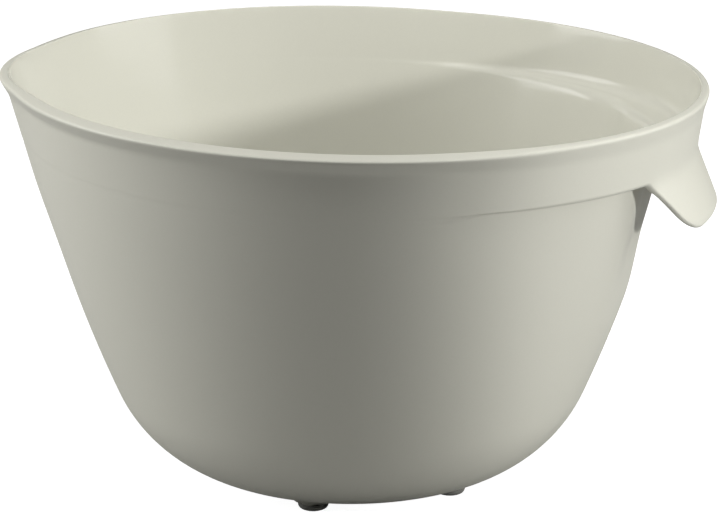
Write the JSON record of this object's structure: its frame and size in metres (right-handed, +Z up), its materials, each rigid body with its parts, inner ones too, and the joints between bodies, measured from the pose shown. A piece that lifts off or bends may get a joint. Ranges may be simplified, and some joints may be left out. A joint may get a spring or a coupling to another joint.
{
  "type": "batter bowl",
  "caption": "Pale grey-green plastic batter bowl with a turned-out lip, a pointed pouring spout, a wide finger grip hung from a raised band, and soft feet.",
  "frame": {"origin": "on the table under the middle of the bowl's outer box; the bowl's own axis is about 3.2 mm towards the spout from it", "axes": "+X from the spout to the grip, +Y to the right of that seen from above the far side, +Z up out of the bowl"},
  "size_m": [0.2514, 0.239, 0.1485],
  "materials": {
    "bowl_plastic": "satin outside, polished inside",
    "foot_rubber": "matte"
  },
  "bodies": {
    "root": {"bowl": "bowl_plastic", "foot_spout": "foot_rubber", "foot_front_mid": "foot_rubber", "foot_front_grip": "foot_rubber", "foot_back_mid": "foot_rubber", "foot_back_grip": "foot_rubber"}
  },
  "joints": []
}
